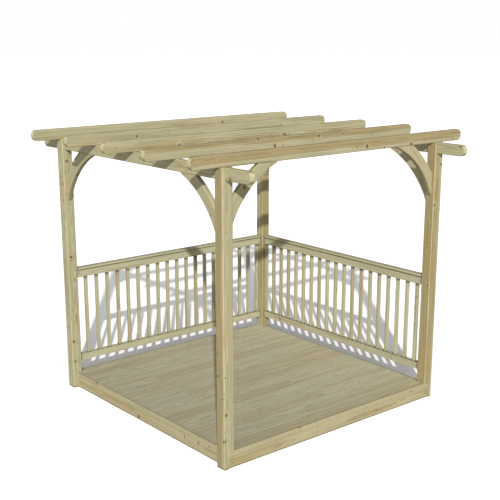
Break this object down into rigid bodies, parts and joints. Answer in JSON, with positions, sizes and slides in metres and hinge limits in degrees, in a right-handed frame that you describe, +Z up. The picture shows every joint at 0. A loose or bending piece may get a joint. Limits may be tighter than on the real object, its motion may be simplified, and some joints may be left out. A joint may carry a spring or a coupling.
{
  "type": "timber pergola",
  "caption": "Open timber pergola on a low boarded deck, with arched corner braces, overhanging beams and rafters, and spindled balustrades on two adjoining sides.",
  "frame": {"origin": "ground level, under the middle of the deck", "axes": "+X along the rafters, towards the side balustrade; +Y along the beams, towards the back balustrade; +Z up"},
  "size_m": [2.924, 2.908, 2.408],
  "materials": {
    "post_timber": "planed softwood, pressure treated, pale tan with a green tinge",
    "roof_timber": "planed softwood, pressure treated, pale straw with brown grain",
    "fascia_board": "planed softwood board, pressure treated, straw with brown grain",
    "joist_timber": "sawn softwood, pressure treated",
    "deck_board": "grooved softwood decking, pressure treated, dull straw",
    "balustrade_timber": "planed softwood, pressure treated, pale straw"
  },
  "bodies": {
    "root": {"post_front_left": "post_timber", "post_front_right": "post_timber", "post_back_left": "post_timber", "post_back_right": "post_timber", "beam_left": "roof_timber", "beam_right": "roof_timber", "rafter_1": "roof_timber", "rafter_2": "roof_timber", "rafter_3": "roof_timber", "rafter_4": "roof_timber", "rafter_5": "roof_timber", "brace_front_left_beam": "roof_timber", "brace_front_left_rafter": "roof_timber", "brace_front_right_beam": "roof_timber", "brace_front_right_rafter": "roof_timber", "brace_back_left_beam": "roof_timber", "brace_back_left_rafter": "roof_timber", "brace_back_right_beam": "roof_timber", "brace_back_right_rafter": "roof_timber", "fascia_front": "fascia_board", "fascia_back": "fascia_board", "fascia_left": "fascia_board", "fascia_right": "fascia_board", "deck_joist_1": "joist_timber", "deck_joist_2": "joist_timber", "deck_joist_3": "joist_timber", "deck_joist_4": "joist_timber", "deck_joist_5": "joist_timber", "deck_joist_6": "joist_timber", "deck_boards": "deck_board", "handrail_back": "balustrade_timber", "bottom_rail_back": "balustrade_timber", "spindles_back": "balustrade_timber", "handrail_right": "balustrade_timber", "bottom_rail_right": "balustrade_timber", "spindles_right": "balustrade_timber"}
  },
  "joints": []
}
